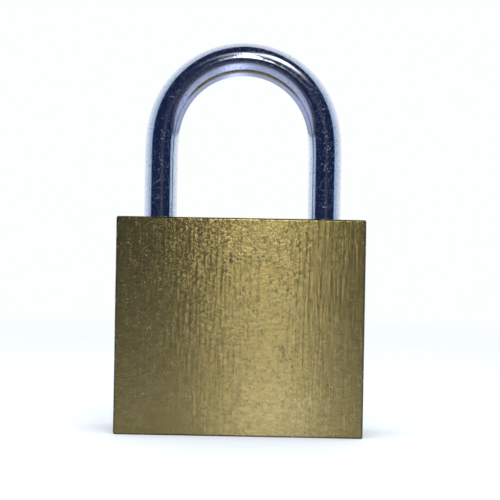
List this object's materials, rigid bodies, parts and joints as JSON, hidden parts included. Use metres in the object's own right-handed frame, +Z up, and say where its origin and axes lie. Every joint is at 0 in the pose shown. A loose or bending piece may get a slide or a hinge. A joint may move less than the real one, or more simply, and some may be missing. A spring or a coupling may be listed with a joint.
{
  "type": "padlock",
  "caption": "Brass block padlock with a round steel shackle that lifts, a keyed plug that turns, a spring latch and pin stacks.",
  "frame": {"origin": "centre of the block's flat bottom face", "axes": "+Z up, from the bottom face towards the shackle; +X across the block towards the shackle's toe leg, the one that comes free; +Y from the front face to the back face"},
  "size_m": [0.04, 0.014, 0.0637],
  "materials": {
    "block_brass": "square-cut brass with a fine drawn and rubbed grain, dulled",
    "shackle_steel": "bright plated steel, smooth",
    "plug_brass": "turned brass",
    "pin_brass": "turned brass, bright",
    "cap_brass": "brass, pressed in and ground flush",
    "hard_steel": "hardened steel, ground",
    "spring_steel": "drawn spring wire"
  },
  "bodies": {
    "case": {"body": "block_brass", "shackle_spring": "spring_steel", "shackle_retainer": "hard_steel", "latch_spring": "spring_steel", "channel_cap": "cap_brass", "plug_retainer": "hard_steel", "pin_spring_1": "spring_steel", "pin_spring_2": "spring_steel", "pin_spring_3": "spring_steel", "pin_spring_4": "spring_steel", "chamber_cap_1": "cap_brass", "chamber_cap_2": "cap_brass", "chamber_cap_3": "cap_brass", "chamber_cap_4": "cap_brass"},
    "shackle_body": {"shackle": "shackle_steel"},
    "latch_body": {"latch": "hard_steel"},
    "plug_body": {"plug": "plug_brass", "cam": "hard_steel"},
    "key_pin_body_1": {"key_pin_1": "pin_brass"},
    "key_pin_body_2": {"key_pin_2": "pin_brass"},
    "key_pin_body_3": {"key_pin_3": "pin_brass"},
    "key_pin_body_4": {"key_pin_4": "pin_brass"},
    "driver_pin_body_1": {"driver_pin_1": "pin_brass"},
    "driver_pin_body_2": {"driver_pin_2": "pin_brass"},
    "driver_pin_body_3": {"driver_pin_3": "pin_brass"},
    "driver_pin_body_4": {"driver_pin_4": "pin_brass"}
  },
  "joints": [
    {"name": "shackle_lift", "type": "slide", "parent": "case", "child": "shackle_body", "axis": [0, 0, 1], "range_m": [0, 0.013], "deforming": ["shackle_spring"]},
    {"name": "plug_turn", "type": "hinge", "parent": "case", "child": "plug_body", "pos_m": [0, 0, 0], "axis": [0, 0, 1], "range_deg": [0, 90]},
    {"name": "latch_slide", "type": "slide", "parent": "case", "child": "latch_body", "axis": [-1, 0, 0], "range_m": [-0.002, 0], "stiffness_N_per_m": 100, "springref_m": -0.006, "deforming": ["latch_spring"]},
    {"name": "key_pin_1_slide", "type": "slide", "parent": "plug_body", "child": "key_pin_body_1", "axis": [1, 0, 0], "range_m": [-0.00308, 0], "stiffness_N_per_m": 50, "springref_m": -0.008},
    {"name": "driver_pin_1_slide", "type": "slide", "parent": "case", "child": "driver_pin_body_1", "axis": [1, 0, 0], "range_m": [-0.00308, 0], "deforming": ["pin_spring_1"]},
    {"name": "key_pin_2_slide", "type": "slide", "parent": "plug_body", "child": "key_pin_body_2", "axis": [1, 0, 0], "range_m": [-0.00188, 0], "stiffness_N_per_m": 50, "springref_m": -0.008},
    {"name": "driver_pin_2_slide", "type": "slide", "parent": "case", "child": "driver_pin_body_2", "axis": [1, 0, 0], "range_m": [-0.00188, 0], "deforming": ["pin_spring_2"]},
    {"name": "key_pin_3_slide", "type": "slide", "parent": "plug_body", "child": "key_pin_body_3", "axis": [1, 0, 0], "range_m": [-0.00248, 0], "stiffness_N_per_m": 50, "springref_m": -0.008},
    {"name": "driver_pin_3_slide", "type": "slide", "parent": "case", "child": "driver_pin_body_3", "axis": [1, 0, 0], "range_m": [-0.00248, 0], "deforming": ["pin_spring_3"]},
    {"name": "key_pin_4_slide", "type": "slide", "parent": "plug_body", "child": "key_pin_body_4", "axis": [1, 0, 0], "range_m": [-0.00128, 0], "stiffness_N_per_m": 50, "springref_m": -0.008},
    {"name": "driver_pin_4_slide", "type": "slide", "parent": "case", "child": "driver_pin_body_4", "axis": [1, 0, 0], "range_m": [-0.00128, 0], "deforming": ["pin_spring_4"]}
  ],
  "couplings": [
    {"joint": "driver_pin_1_slide", "follows": "key_pin_1_slide", "ratio": 1},
    {"joint": "driver_pin_2_slide", "follows": "key_pin_2_slide", "ratio": 1},
    {"joint": "driver_pin_3_slide", "follows": "key_pin_3_slide", "ratio": 1},
    {"joint": "driver_pin_4_slide", "follows": "key_pin_4_slide", "ratio": 1}
  ]
}
